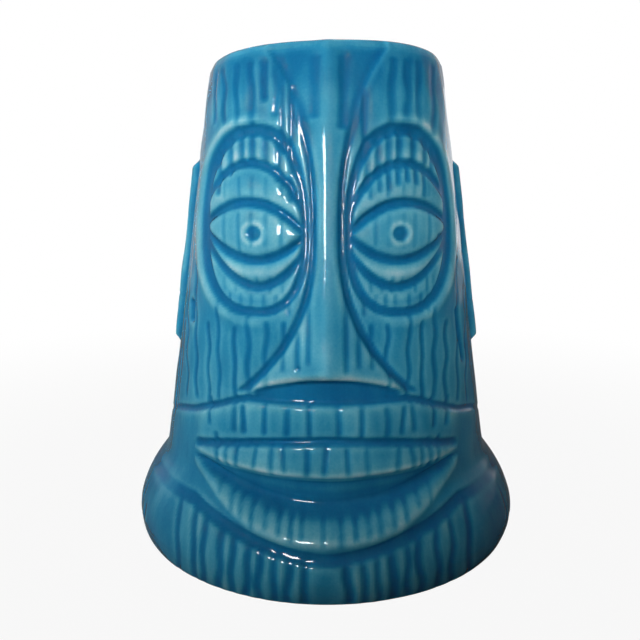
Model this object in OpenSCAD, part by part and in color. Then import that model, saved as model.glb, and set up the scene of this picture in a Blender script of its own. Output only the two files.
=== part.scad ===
// Tapered tiki mug, cast in clay and glazed turquoise, with a carved face on its front.
// The face looks along -Y. The origin is at the centre of the foot, with +Z up.
// Sizes are those of the glazed mug; the clay lies one glaze thickness below them.

/* [Overall] */
// Height from the foot to the top of the rim
mug_h = 140; // [130:1:175]
// Outside diameter at the rim
rim_d = 68.6; // [62:0.2:84]
// Outside diameter where the wall meets the base skirt
jaw_d = 102.4; // [96:0.2:112]
// Thickness of the wall, glaze included
wall = 5; // [4.4:0.1:7]
// Radius of the rolled lip
lip_round = 2.2; // [1.6:0.1:2.2]

/* [Base skirt] */
// Largest diameter of the skirt
skirt_d = 120.4; // [114:0.2:146]
// Height at which the skirt runs into the wall
skirt_h = 24.5; // [22.5:0.5:27]
// Height of the skirt's widest line
belly_z = 6.5; // [4:0.5:9]
// How far the skirt draws in below its widest line
skirt_tuck = 2; // [1:0.1:3]
// Height of the cup's floor above the table
floor_z = 6; // [5:0.5:9]
// Radius of the cup's floor corner
floor_round = 7; // [4:0.5:9]
// Width of the ring that the mug stands on
foot_ring_w = 7; // [5:0.5:12]
// Depth of the hollow inside the foot ring
foot_hollow = 1.6; // [1:0.1:2.5]

/* [Glaze] */
// Thickness of the glaze on the raised clay
glaze_t = 0.4; // [0.3:0.05:0.6]
// Extra glaze that gathers in the carved lines
glaze_pool = 0.3; // [0.1:0.05:0.5]
// Height of the bare clay left below the outer glaze
bare_foot = 0.8; // [0.4:0.2:3]

/* [Carved lines] */
// Width of the carved lines
line_w = 1.8; // [1.2:0.1:2.2]
// Depth of the carved lines
line_depth = 1.1; // [0.6:0.1:1.4]

/* [Eyes] */
// Height of the pupils
eye_z = 91.8; // [89:0.2:95]
// Distance of each pupil from the middle of the face
eye_x = 18.5; // [17.8:0.1:19.5]
// Half of the width of an eye from corner to corner
eye_half_w = 12.2; // [11:0.1:12.6]
// Rise of the upper lid above the pupil
lid_rise = 8.2; // [7:0.2:9]
// Rise of the lid's fold above the pupil
fold_rise = 17.2; // [16:0.2:18.5]
// Rise of the eye socket above the pupil
socket_rise = 27; // [24:0.5:29]
// Drop of the lower lid below the pupil
lower_lid_drop = 6.5; // [6:0.1:7.5]
// Drop of the bag line below the pupil
bag_drop = 12.9; // [12:0.1:14]
// Drop of the eye socket below the pupil
socket_drop = 19.4; // [18.5:0.1:21]
// Diameter of the pupil
pupil_d = 4; // [3:0.2:5]

/* [Nose] */
// How far the tip stands out from the wall
nose_proud = 3.2; // [2:0.2:4.4]
// How far the ridge stands out where the lip's roll starts
ridge_proud = 1; // [0.6:0.1:1.6]
// Half of the width of the bridge between the eyes
bridge_half_w = 3.3; // [2.8:0.1:3.6]
// Half of the width at the nostrils
nostril_half_w = 21.5; // [18:0.5:23]
// Half of the width of the brow fan where the lip's roll starts
brow_half_w = 15.2; // [13:0.2:17]
// Height of the tip's lower edge in the middle
nose_tip_z = 55.2; // [54:0.2:57]
// Height of the nostrils' lower edge
nostril_z = 51.4; // [50.8:0.2:52]

/* [Mouth] */
// Half of the width of the mouth
mouth_half_w = 35; // [31:0.5:37]
// How far the long lines run on past the mouth's corners
line_overrun = 6; // [2:0.5:8]
// Height of the line above the lip band, in the middle and at its ends
moustache_z = [49.2, 42.6];
// Height of the line between the band and the upper lip, in the middle and at its ends
band_z = [39.8, 34.8];
// Height of the upper lip's lower edge, in the middle and at the corners
upper_lip_z = [30.5, 30.6];
// Height of the mouth's lower edge, in the middle and at the corners
mouth_floor_z = [24.4, 29.2];
// Height of the lower lip's lower edge, in the middle and at the corners
lower_lip_z = [15.6, 25.4];
// Height of the line under the lower lip, in the middle and at its ends
chin_line_z = [13, 21.2];
// How far the lips stand out
lip_proud = 1.4; // [0.8:0.1:2]

/* [Ears] */
// How far the ears stand out
ear_proud = 2; // [1.4:0.1:3.4]
// Width of an ear, seen from the side
ear_w = 18; // [12:0.5:26]
// Height of an ear's lower end
ear_bottom_z = 57.5; // [52:0.5:68]
// Height of an ear's upper end
ear_top_z = 114; // [100:0.5:118]
// Height of the slanted ends of an ear
ear_slant = 3; // [2:0.5:6]

/* [Hidden] */

rim_r = rim_d / 2;
jaw_r = jaw_d / 2;
skirt_r = skirt_d / 2;
lip_mid_r = rim_r - wall / 2;
inner_rim_r = rim_r - wall;
foot_r = skirt_r - skirt_tuck;
brow_top_z = mug_h - lip_round;
brow_curve = 2.6;     // how late the brow fan opens above the eyes
nostril_curve = 2.5;  // how late the nose widens below the eyes
flank_slope = 0.38;   // fall of the nose's flanks, back over across
lid_gap = 0.4;        // from an eye's corner to the middle of its lid lines
edge_step = 0.3;      // from a carved line to the foot of the nose or lip beside it
steps = 8;            // straight pieces in a short curve
fine_steps = 16;      // straight pieces in a long curve
far = 120;            // reach of a cut that passes right through
through = 1;          // run past a face, so that a cut opens it
$fn = 96;

// Outside radius of the wall, a straight cone from the skirt to the rim.
function wall_r(z) = jaw_r + (rim_r - jaw_r) * (z - skirt_h) / (mug_h - skirt_h);

// Outside radius of the skirt, a parabola each way from its widest line.
function skirt_line_r(z) = z > belly_z
    ? jaw_r + (skirt_r - jaw_r) * (1 - pow((z - belly_z) / (skirt_h - belly_z), 2))
    : skirt_r - skirt_tuck * pow((belly_z - z) / belly_z, 2);

function outside_r(z) = z < skirt_h ? skirt_line_r(z) : wall_r(z);

function hollow_r(z) = outside_r(z) - wall;

function spread(from, to, count) = [for (i = [0 : count]) from + (to - from) * i / count];

function backwards(list) = [for (i = [len(list) - 1 : -1 : 0]) list[i]];

function arc(centre, radius, a0, a1) =
    [for (a = spread(a0, a1, steps)) centre + radius * [cos(a), sin(a)]];

// Outline of the outside, grown sideways by grow and upward by crown.
function outside_line(grow, crown) = concat(
    [[0, 0]],
    [for (z = spread(0, belly_z, steps / 2)) [outside_r(z) + grow, z]],
    [for (i = [1 : steps]) let (z = belly_z + (skirt_h - belly_z) * i / steps) [outside_r(z) + grow, z]],
    arc([rim_r - lip_round + grow - crown, mug_h - lip_round], lip_round + crown, 0, 90),
    [[0, mug_h + crown]]);

// Side of the cup's hollow from its floor to the top of the lip, grown into the clay by grow.
function hollow_side(grow) =
    let (bend_z = floor_z + floor_round)
    concat(
        [[0, floor_z - grow]],
        arc([hollow_r(bend_z) - floor_round, bend_z], floor_round + grow, 270, 360),
        [for (i = [1 : steps]) let (z = bend_z + (skirt_h - bend_z) * i / steps) [hollow_r(z) + grow, z]],
        arc([inner_rim_r + lip_round, mug_h - lip_round], lip_round - grow, 180, 90));

module outside_form(grow, crown) {
    rotate_extrude() polygon(outside_line(grow, crown));
}

module hollow_form(grow) {
    lip_edge_r = inner_rim_r + lip_round;
    rotate_extrude()
        polygon(concat(hollow_side(grow), [[lip_edge_r, mug_h + through], [0, mug_h + through]]));
}

// Carries an outline drawn on the front, as x and height, back to the mug's axis.
module from_front() {
    rotate([90, 0, 0]) linear_extrude(height = far) children();
}

// Line bowed from heights[0] in the middle of the face to heights[1] at x = half, shifted up.
function bow(heights, half, up) =
    [for (x = spread(-half, half, fine_steps))
        [x, heights[0] + (heights[1] - heights[0]) * pow(x / half, 2) + up]];

// Field between two bowed lines, grown all round by grow.
module crescent(top, low, half, grow) {
    wide = half + grow;
    polygon(concat(bow(top, wide, grow), backwards(bow(low, wide, -grow))));
}

// One stretch of an oval line, from angle a0 to a1, w wide.
module oval_line(half_w, height, a0, a1, w) {
    angles = spread(a0, a1, fine_steps);
    outer = [for (a = angles) [(half_w + w / 2) * cos(a), (height + w / 2) * sin(a)]];
    inner = [for (a = angles) [(half_w - w / 2) * cos(a), (height - w / 2) * sin(a)]];
    polygon(concat(outer, backwards(inner)));
}

// Lids, folds, socket and pupil of one eye, around its own centre.
module eye_lines(w) {
    lid_w = eye_half_w - lid_gap;
    socket_w = eye_half_w + line_w / 2;
    oval_line(socket_w, socket_rise, 0, 180, w);
    oval_line(socket_w, socket_drop, 180, 360, w);
    oval_line(lid_w, fold_rise, 0, 180, w);
    oval_line(lid_w, lid_rise, 0, 180, w);
    oval_line(lid_w, lower_lid_drop, 180, 360, w);
    oval_line(lid_w, bag_drop, 180, 360, w);
    circle(d = pupil_d + w - line_w);
}

// Half of the width of the nose and brow at a height: narrow at the eyes, wide at both ends.
function nose_half_w(z) = z > eye_z
    ? bridge_half_w + (brow_half_w - bridge_half_w) * pow((z - eye_z) / (brow_top_z - eye_z), brow_curve)
    : bridge_half_w + (nostril_half_w - bridge_half_w) * pow((eye_z - z) / (eye_z - nostril_z), nostril_curve);

// Right-hand side of the nose and brow, from the height low to the lip, moved out by out.
function nose_side(low, out) =
    [for (z = spread(low, brow_top_z, 2 * fine_steps)) [nose_half_w(z) + out, z]];

// Field of the nose and brow inside its side lines, grown by grow.
module nose_field(grow) {
    inset = grow - edge_step;
    low = nostril_z - inset;
    side = nose_side(low, inset - line_w / 2);
    tip = bow([nose_tip_z - inset, low], side[0][0], 0);
    inner_tip = [for (i = [1 : len(tip) - 2]) tip[i]];
    polygon(concat(side, [for (p = backwards(side)) [-p[0], p[1]]], inner_tip));
}

// Every carved line of the face, grown all round by grow.
module face_lines(grow) {
    w = line_w + 2 * grow;
    long_half_w = mouth_half_w + line_overrun;
    half_line = grow + line_w / 2;
    for (side = [-1, 1]) {
        translate([side * eye_x, eye_z]) eye_lines(w);
        scale([side, 1]) polygon(concat(nose_side(nostril_z, w / 2), backwards(nose_side(nostril_z, -w / 2))));
    }
    crescent([nose_tip_z, nostril_z], [moustache_z[0], nostril_z - line_w], nostril_half_w, grow);
    crescent(moustache_z, moustache_z, long_half_w, half_line);
    crescent(band_z, band_z, mouth_half_w, half_line);
    crescent(chin_line_z, chin_line_z, long_half_w, half_line);
    crescent(upper_lip_z, mouth_floor_z, mouth_half_w, grow);
}

module lip_fields(grow) {
    below_band_z = [for (z = band_z) z - line_w / 2];
    crescent(below_band_z, upper_lip_z, mouth_half_w, grow - edge_step);
    crescent(mouth_floor_z, lower_lip_z, mouth_half_w, grow - edge_step);
}

// Wedge whose edge is the nose's ridge; its flanks fall back to the wall.
module nose_wedge(grow) {
    tip_y = wall_r(nostril_z) + nose_proud + grow;
    rim_y = wall_r(brow_top_z) + ridge_proud + grow;
    rise = brow_top_z - nostril_z;
    lean = atan((tip_y - rim_y) / rise);
    translate([0, -tip_y, nostril_z]) rotate([-lean, 0, 0]) translate([0, 0, -wall])
        linear_extrude(height = rise + 2 * wall)
            polygon([[0, 0], [rim_r, rim_r * flank_slope], [-rim_r, rim_r * flank_slope]]);
}

// Solid outside of the mug with its relief. grow is 0 at the glaze and -glaze_t at the clay.
module carved_form(grow) {
    pool = grow < 0 ? glaze_pool : 0;
    outside_form(grow - line_depth - pool, grow);
    difference() {
        outside_form(grow, grow);
        from_front() face_lines(-grow);
    }
    intersection() {
        from_front() nose_field(grow);
        nose_wedge(grow);
    }
    intersection() {
        outside_form(lip_proud + grow, grow);
        from_front() lip_fields(grow);
    }
}

// Slab on the side of the mug, side being 1 for +X. It reaches in to the mug's axis.
module ear_slab(side, grow) {
    low = ear_bottom_z - grow;
    top = ear_top_z + grow;
    out = ear_proud + grow - glaze_t;
    outline = [[0, low], [wall_r(low), low], [wall_r(low + ear_slant) + out, low + ear_slant],
        [wall_r(top - ear_slant) + out, top - ear_slant], [wall_r(top), top], [0, top]];
    width = ear_w - 2 * glaze_t + 2 * grow;
    intersection() {
        outside_form(out, -glaze_t);
        scale([side, 1, 1]) rotate([90, 0, 0])
            linear_extrude(height = width, center = true) polygon(outline);
    }
}

module clay_body() {
    color("tan") difference() {
        carved_form(-glaze_t);
        hollow_form(glaze_t);
        translate([0, 0, -through])
            cylinder(r = foot_r - glaze_t - foot_ring_w, h = foot_hollow + through);
    }
}

module ear(side) {
    color("burlywood") difference() {
        ear_slab(side, 0);
        carved_form(-glaze_t);
    }
}

module left_ear() {
    ear(1);
}

module right_ear() {
    ear(-1);
}

module outer_glaze() {
    color("steelblue") difference() {
        union() {
            carved_form(0);
            ear_slab(1, glaze_t);
            ear_slab(-1, glaze_t);
        }
        carved_form(-glaze_t);
        ear_slab(1, 0);
        ear_slab(-1, 0);
        translate([0, 0, -through]) cylinder(r = far, h = bare_foot + through);
        cylinder(r = lip_mid_r, h = mug_h + through);
    }
}

module liner_glaze() {
    lip_top = [[lip_mid_r, mug_h - glaze_t], [lip_mid_r, mug_h]];
    color("lightseagreen") rotate_extrude()
        polygon(concat(hollow_side(glaze_t), lip_top, backwards(hollow_side(0))));
}

clay_body();
left_ear();
right_ear();
outer_glaze();
liner_glaze();
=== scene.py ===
"""Looks of the carved tiki mug: glaze, clay and studio around the solid model.

Lengths in the classes below are millimetres, as a potter's drawing gives them; meshes are made in
metres in the solid model's frame. The face looks along -Y and theta is the angle round the mug,
0 in the middle of the face and positive towards +X.
"""
import logging
import math
from dataclasses import dataclass, field
from enum import Enum

import bpy
import numpy as np
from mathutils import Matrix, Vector


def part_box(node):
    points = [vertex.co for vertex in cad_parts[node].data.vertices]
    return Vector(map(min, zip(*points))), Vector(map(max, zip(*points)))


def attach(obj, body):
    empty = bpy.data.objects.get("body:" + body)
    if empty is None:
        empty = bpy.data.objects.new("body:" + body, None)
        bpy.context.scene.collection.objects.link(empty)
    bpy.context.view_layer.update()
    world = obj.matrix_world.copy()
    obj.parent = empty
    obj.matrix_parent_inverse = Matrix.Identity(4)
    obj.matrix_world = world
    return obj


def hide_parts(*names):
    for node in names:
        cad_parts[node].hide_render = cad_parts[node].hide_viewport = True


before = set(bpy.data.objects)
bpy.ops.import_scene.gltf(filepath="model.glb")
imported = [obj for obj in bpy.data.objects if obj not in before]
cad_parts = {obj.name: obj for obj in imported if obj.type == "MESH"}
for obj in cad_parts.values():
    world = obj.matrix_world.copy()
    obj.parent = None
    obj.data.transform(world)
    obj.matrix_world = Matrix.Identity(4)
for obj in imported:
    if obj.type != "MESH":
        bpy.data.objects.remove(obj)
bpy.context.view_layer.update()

MM = 0.001
GLAZE_DEPTH_AND_SHADE = "glaze_depth_and_shade"
Array = np.ndarray
LOG = logging.getLogger("tiki_mug")


def ease(t: Array) -> Array:
    """Smooth step from 0 to 1 as t goes from 0 to 1."""
    t = np.clip(t, 0.0, 1.0)
    return t * t * (3.0 - 2.0 * t)


def bell(distance: Array, reach: float) -> Array:
    """Bell curve that is 1 at distance 0 and falls off over reach."""
    return np.exp(-np.square(distance / reach))


def ripple(theta: Array, z: Array, seed: int, count: int, fine: float) -> Array:
    """Gentle unevenness of hand work, about -1 to 1.

    Args:
        theta: Angle round the mug in radians; the result has no seam.
        z: Height in mm.
        seed: Seed of the draw.
        count: Number of waves that are added up.
        fine: Finest wave, in waves round the mug.

    Returns:
        The unevenness at each point.
    """
    rng = np.random.default_rng(seed)
    total = np.zeros(np.broadcast(theta, z).shape)
    for _ in range(count):
        turns = int(rng.integers(1, int(fine) + 1))
        rise = rng.uniform(-fine, fine) / 60.0
        total += np.cos(turns * theta + rise * z + rng.uniform(0, 2 * math.pi))
    return total / math.sqrt(2.0 * count)


def around_axis(radius: Array, theta: Array, z: Array) -> Array:
    """Points round the mug's axis.

    Args:
        radius: Distance from the axis in mm, as rows by columns or as one column.
        theta: Angle of each column in radians.
        z: Height in mm, in a shape that spreads over the rows and columns.

    Returns:
        Points in mm, rows by columns by 3.
    """
    x, y = radius * np.sin(theta), -radius * np.cos(theta)
    return np.stack([x, y, np.broadcast_to(z, x.shape)], axis=-1)


def press(total: Array, rows: Array, cols: Array, mark: Array) -> None:
    """Presses a mark into a map of strengths, wherever it is stronger than what is there.

    Args:
        total: The map, which is changed.
        rows: Rows that the mark covers.
        cols: Columns that the mark covers.
        mark: Strength of the mark on those rows and columns.
    """
    spot = np.ix_(rows, cols)
    total[spot] = np.maximum(total[spot], mark)


@dataclass(frozen=True)
class MugProfile:
    """Turned shape of the glazed mug, with no carving on it."""

    rim_d: float = 68.6
    jaw_d: float = 102.4
    wall: float = 5.0
    lip_round: float = 2.2
    skirt_d: float = 120.4
    skirt_h: float = 24.5
    belly_z: float = 6.5
    skirt_tuck: float = 2.0
    floor_z: float = 6.0
    floor_round: float = 7.0
    foot_ring_w: float = 7.0
    foot_hollow: float = 1.6
    glaze_t: float = 0.4
    bare_foot: float = 0.8
    crease_round: float = 1.6
    mug_h: float = field(default_factory=lambda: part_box("outer_glaze")[1][2] / MM)

    @property
    def lip_z(self) -> float:
        """Height at which the lip's roll starts."""
        return self.mug_h - self.lip_round

    @property
    def inner_rim_r(self) -> float:
        """Radius of the mouth."""
        return self.rim_d / 2 - self.wall

    @property
    def lip_middle_r(self) -> float:
        """Radius at which the two coats meet on the lip."""
        return (self.rim_d - self.wall) / 2

    def wall_r(self, z: Array) -> Array:
        """Radius of the straight wall at a height."""
        share = (z - self.skirt_h) / (self.mug_h - self.skirt_h)
        return self.jaw_d / 2 + (self.rim_d - self.jaw_d) / 2 * share

    def outside_r(self, z: Array) -> Array:
        """Radius of the outside at a height, with the crease over the skirt softened.

        Args:
            z: Height in mm.

        Returns:
            Radius in mm.
        """
        flare = (self.skirt_d - self.jaw_d) / 2
        up = np.clip((z - self.belly_z) / (self.skirt_h - self.belly_z), 0.0, None)
        down = np.clip((self.belly_z - z) / self.belly_z, 0.0, 1.0)
        skirt = self.jaw_d / 2 + flare * (1 - up**2) - self.skirt_tuck * down**2
        straight = self.wall_r(z)
        gap = skirt - straight
        soft = self.crease_round
        rounded = straight + 0.5 * (gap + np.sqrt(gap**2 + soft**2))
        return np.where(z < self.belly_z, skirt, rounded)

    def hollow_r(self, z: Array) -> Array:
        """Radius of the cup's hollow at a height."""
        return self.outside_r(z) - self.wall

    def hollow_line(self, grow: float) -> tuple[Array, Array]:
        """Line of the cup's hollow from the middle of the lip to the middle of the floor.

        Args:
            grow: How far the line lies inside the clay.

        Returns:
            Radius and height along the line.
        """
        roll = np.radians(np.linspace(90, 180, 9))
        lip_r = self.inner_rim_r + self.lip_round
        z = np.linspace(self.lip_z - 1.0, self.floor_z + self.floor_round + 0.5, 90)
        bend = np.radians(np.linspace(0, -90, 12))
        bend_z = self.floor_z + self.floor_round
        bend_r = float(self.hollow_r(np.array(bend_z))) - self.floor_round
        flat = np.linspace(bend_r - 1.0, 1.5, 26)
        r_all = np.concatenate([[self.lip_middle_r], lip_r + (self.lip_round - grow) * np.cos(roll),
                                self.hollow_r(z) + grow,
                                bend_r + (self.floor_round + grow) * np.cos(bend), flat])
        z_all = np.concatenate([[self.mug_h - grow], self.lip_z + (self.lip_round - grow) * np.sin(roll), z,
                                bend_z + (self.floor_round + grow) * np.sin(bend),
                                np.full(len(flat), self.floor_z - grow)])
        return r_all, z_all


@dataclass
class Skin:
    """Points on the mug's surface: rows along its section, columns round it."""

    profile: MugProfile
    theta: Array
    r: Array
    z: Array
    out_r: Array
    out_z: Array
    hold: Array

    @property
    def across(self) -> Array:
        """Distance of each point from the face's middle plane, signed, on the wall."""
        return self.profile.outside_r(self.z_face) * np.sin(self.theta)[None, :]

    @property
    def z_face(self) -> Array:
        """Height that the carving is read at, as a column."""
        return np.minimum(self.z, self.profile.lip_z)[:, None]

    @property
    def front(self) -> Array:
        """1 on the face's half of the mug and 0 on its back."""
        return ease((np.cos(self.theta) + 0.02) / 0.12)[None, :]

    @property
    def half_face(self) -> tuple[Array, Array]:
        """Unsigned distance from the face's middle plane, and height, of each point."""
        return np.abs(self.across), self.z_face

    def place(self, height: Array) -> Array:
        """Points of the surface, in mm, when it is raised by height.

        Args:
            height: Rise of each point, rows by columns.

        Returns:
            Array of rows by columns by 3.
        """
        lift = height * self.hold[:, None]
        radius = self.r[:, None] + lift * self.out_r[:, None]
        rise = self.z[:, None] + lift * self.out_z[:, None]
        return around_axis(radius, self.theta, rise)


SQUARENESS, SQUARE_FROM = 0.38, 0.1
WALL_WOBBLE = 0.0035
RIM_TILT_X, RIM_TILT_Y, RIM_TILT_FROM = 0.024, 0.004, 0.75
RIM_LIFT, RIM_LIFT_FROM = 0.45, 0.85


def hand_thrown(points: Array, profile: MugProfile) -> Array:
    """Moves points as the cast mug sagged: a rim that isn't level, a wall that isn't quite round.

    Args:
        points: Points in mm, the last axis being x, y and z.
        profile: The mug's turned shape.

    Returns:
        The moved points, in mm. The foot stays flat.
    """
    x, y, z = points[..., 0], points[..., 1], points[..., 2]
    theta = np.arctan2(x, -y)
    up = np.clip(z / profile.mug_h, 0.0, 1.0)
    square = 2.0 + SQUARENESS * ease((up - SQUARE_FROM) / 0.9)
    corner = (np.abs(np.cos(theta)) ** square + np.abs(np.sin(theta)) ** square) ** (-1 / square)
    swell = corner * (1 + WALL_WOBBLE * up * ripple(theta, z, 11, 6, 3))
    tilt = ease((up - RIM_TILT_FROM) / 0.25) * (RIM_TILT_X * x - RIM_TILT_Y * y)
    lift = RIM_LIFT * ease((up - RIM_LIFT_FROM) / 0.15)
    return np.stack([x * swell, y * swell, z + tilt + lift], axis=-1)


@dataclass(frozen=True)
class CarvedLine:
    """Cross-section of one carved line."""

    width: float
    depth: float

    def cut(self, distance: Array) -> Array:
        """Depth of the line at a distance from its middle, with soft shoulders."""
        share = np.abs(distance) / self.width
        return self.depth * (0.86 * (1 - ease((share - 0.18) / 0.47)) + 0.14 * bell(share, 1.25))


@dataclass(frozen=True)
class Bow:
    """Line across the face, bowed from its middle height to its end height."""

    middle_z: float
    end_z: float
    half_w: float
    power: float = 2.0

    def z_at(self, across: Array) -> Array:
        """Height of the line above a distance from the middle of the face."""
        return self.middle_z + (self.end_z - self.middle_z) * np.abs(across / self.half_w) ** self.power

    def away(self, across: Array, z: Array) -> Array:
        """Signed distance above the line, measured square to it."""
        slope = self.z_at(across + 0.5) - self.z_at(across - 0.5)
        return (z - self.z_at(across)) / np.sqrt(1 + slope**2)


@dataclass(frozen=True)
class OvalArc:
    """Oval beside the nose; one half of it marks an edge of the eye socket."""

    inner_x: float
    outer_x: float
    middle_z: float
    rise: float
    square: float

    def away(self, across: Array, z: Array) -> Array:
        """Signed distance outside the oval.

        Args:
            across: Distance from the middle of the face in mm.
            z: Height in mm.

        Returns:
            Distance in mm, below 0 inside.
        """
        half, reach, n = (self.outer_x - self.inner_x) / 2, self.rise, self.square
        a = np.maximum(np.abs((across - self.inner_x) / half - 1), 1e-3)
        b = np.maximum(np.abs(z - self.middle_z) / reach, 1e-3)
        size = (a**n + b**n) ** (1 / n)
        grow = size ** (1 - n)
        slope = np.sqrt((grow * a ** (n - 1) / half) ** 2 + (grow * b ** (n - 1) / reach) ** 2)
        return (size - 1) / slope


@dataclass(frozen=True)
class Arch:
    """Arched line beside the nose on a sloping chord: a lid, its fold or the bag below it."""

    inner_x: float
    outer_x: float
    inner_z: float
    outer_z: float
    rise: float
    fullness: float = 1.0

    def along(self, across: Array) -> Array:
        """Place along the chord, -1 at the inner end and 1 at the outer."""
        return 2 * (across - self.inner_x) / (self.outer_x - self.inner_x) - 1

    def z_at(self, across: Array) -> Array:
        """Height of the line at a distance from the face's middle.

        Args:
            across: Distance from the middle of the face in mm.

        Returns:
            Height in mm.
        """
        t = self.along(across)
        bend = np.clip(1 - t**2, 0.0, 1.0) ** self.fullness
        return self.inner_z + (self.outer_z - self.inner_z) * (t + 1) / 2 + self.rise * bend

    def away(self, across: Array, z: Array) -> Array:
        """Signed distance above the line; past its ends it is the distance to the end.

        Args:
            across: Distance from the middle of the face in mm.
            z: Height in mm.

        Returns:
            Distance in mm, below 0 under the line.
        """
        half = (self.outer_x - self.inner_x) / 2
        t = np.clip(self.along(across), -1.0, 1.0)
        steep = np.maximum(1 - t**2, 0.04) ** (self.fullness - 1)
        slope = (self.outer_z - self.inner_z) / (2 * half) - 2 * self.rise * self.fullness * t * steep / half
        square = (z - self.z_at(across)) / np.sqrt(1 + slope**2)
        past = np.maximum(np.abs(self.along(across)) - 1, 0.0) * half
        return np.copysign(np.hypot(square, past), square)


@dataclass(frozen=True)
class Nose:
    """Long nose that opens into the brow fan at the rim and into the nostrils below."""

    eye_z: float = 91.8
    bridge_half_w: float = 3.3
    brow_half_w: float = 15.2
    nostril_half_w: float = 21.5
    nostril_z: float = 51.4
    tip_z: float = 55.2
    tip_proud: float = 3.2
    ridge_proud: float = 1.0
    flank_slope: float = 0.38
    ridge_round: float = 1.5
    side_line: CarvedLine = CarvedLine(2.3, 0.85)
    side_fade_z: float = 103.0
    underside_drop: float = 0.4
    facet_cut: float = 1.2
    facet_z: float = 104.0
    hollow_cut: float = 0.95
    hollow_low_z: float = 48.2

    def underside_away(self, across: Array, z: Array) -> Array:
        """Signed distance above the nose's lower edge."""
        return Bow(self.tip_z, self.nostril_z - self.underside_drop, self.nostril_half_w).away(across, z)

    def half_w(self, z: Array, top_z: float) -> Array:
        """Half of the nose's width at a height.

        Args:
            z: Height in mm.
            top_z: Height at which the brow is widest.

        Returns:
            Half width in mm.
        """
        up = np.clip((z - self.eye_z) / (top_z - self.eye_z), 0.0, 1.0)
        down = np.clip((self.eye_z - z) / (self.eye_z - self.nostril_z), 0.0, 1.2)
        return (self.bridge_half_w + (self.brow_half_w - self.bridge_half_w) * up**2.6
                + (self.nostril_half_w - self.bridge_half_w) * down**2.5)

    def side_away(self, skin: Skin) -> Array:
        """Signed distance outside the nose's side line.

        Args:
            skin: Points of the surface.

        Returns:
            Distance in mm, below 0 on the nose.
        """
        top = skin.profile.lip_z
        z = skin.z_face
        width = self.half_w(z, top)
        slope = self.half_w(z + 0.5, top) - self.half_w(z - 0.5, top)
        return (np.abs(skin.across) - width) / np.sqrt(1 + slope**2)

    def rise(self, skin: Skin) -> Array:
        """Height of the nose over the wall.

        Args:
            skin: Points of the surface.

        Returns:
            Height over the wall in mm, rows by columns.
        """
        profile = skin.profile
        across, z = skin.half_face
        tip_r = profile.wall_r(self.nostril_z) + self.tip_proud
        top_r = profile.wall_r(profile.lip_z) + self.ridge_proud
        apex = tip_r + (top_r - tip_r) * (z - self.nostril_z) / (profile.lip_z - self.nostril_z)
        apex = apex + 0.5 * bell(z - self.tip_z - 2.0, 7.0)
        spread = np.sqrt(across**2 + self.ridge_round**2) - self.ridge_round
        proud = np.hypot(across, apex - self.flank_slope * spread) - profile.outside_r(z)
        underside = self.underside_away(across, z)
        lower_edge = np.sqrt(ease((underside + 0.6) / 2.4))
        side = ease((0.35 - self.side_away(skin)) / 1.3)
        facet = -self.facet_cut * ease((z - self.facet_z) / 8.0) * (1 - 0.4 * ease((z - 130.0) / 8.0))
        return np.maximum(proud, facet) * side * lower_edge * skin.front

    def thinned(self, skin: Skin) -> Array:
        """Share of bare edge at a point: the nose's lower edge and the sliver beside the bridge.

        Args:
            skin: Points of the surface.

        Returns:
            Share of 0 to about 1, rows by columns.
        """
        across, z = skin.half_face
        underside = self.underside_away(across, z)
        lower = 1.15 * bell(underside - 0.7, 0.85) * ease((self.nostril_half_w + 1 - across) / 2.0)
        sliver = bell(self.side_away(skin) - 1.35, 0.5) * ease((122 - z) / 12) * ease((z - 66) / 12)
        return np.maximum(lower, sliver) * skin.front

    def pooled(self, skin: Skin) -> Array:
        """Share of a pool of glaze along the side lines, which spreads out towards the rim.

        Args:
            skin: Points of the surface.

        Returns:
            Share of 0 to about 1, rows by columns.
        """
        z = skin.z_face
        spread = 1 + 1.1 * ease((z - 108) / 20)
        broad = CarvedLine(self.side_line.width, 1.0).cut(self.side_away(skin) / spread)
        return broad * ease((z - 100) / 8) * (1 - 0.6 * ease((z - 118) / 16)) * skin.front

    def cuts(self, skin: Skin) -> list[Array]:
        """Depths of the nose's side lines and of the shadowed hollow under its tip.

        Args:
            skin: Points of the surface.

        Returns:
            Depths in mm, one array for each cut.
        """
        across, z = skin.half_face
        below = ease((z - self.nostril_z + 1.2) / 2.0)
        side = self.side_line.cut(self.side_away(skin) / (1 + 0.9 * ease((z - 112.0) / 18.0))) * below
        underside = self.underside_away(across, z)
        floor_edge = ease((z - self.hollow_low_z) / 1.2) * ease((20.5 - across) / 4.0)
        hollow = self.hollow_cut * ease((0.2 - underside) / 1.2) * floor_edge
        near_rim = 1 - ease((z - self.side_fade_z) / 18.0)
        return [side * near_rim * skin.front, hollow * skin.front]


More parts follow.
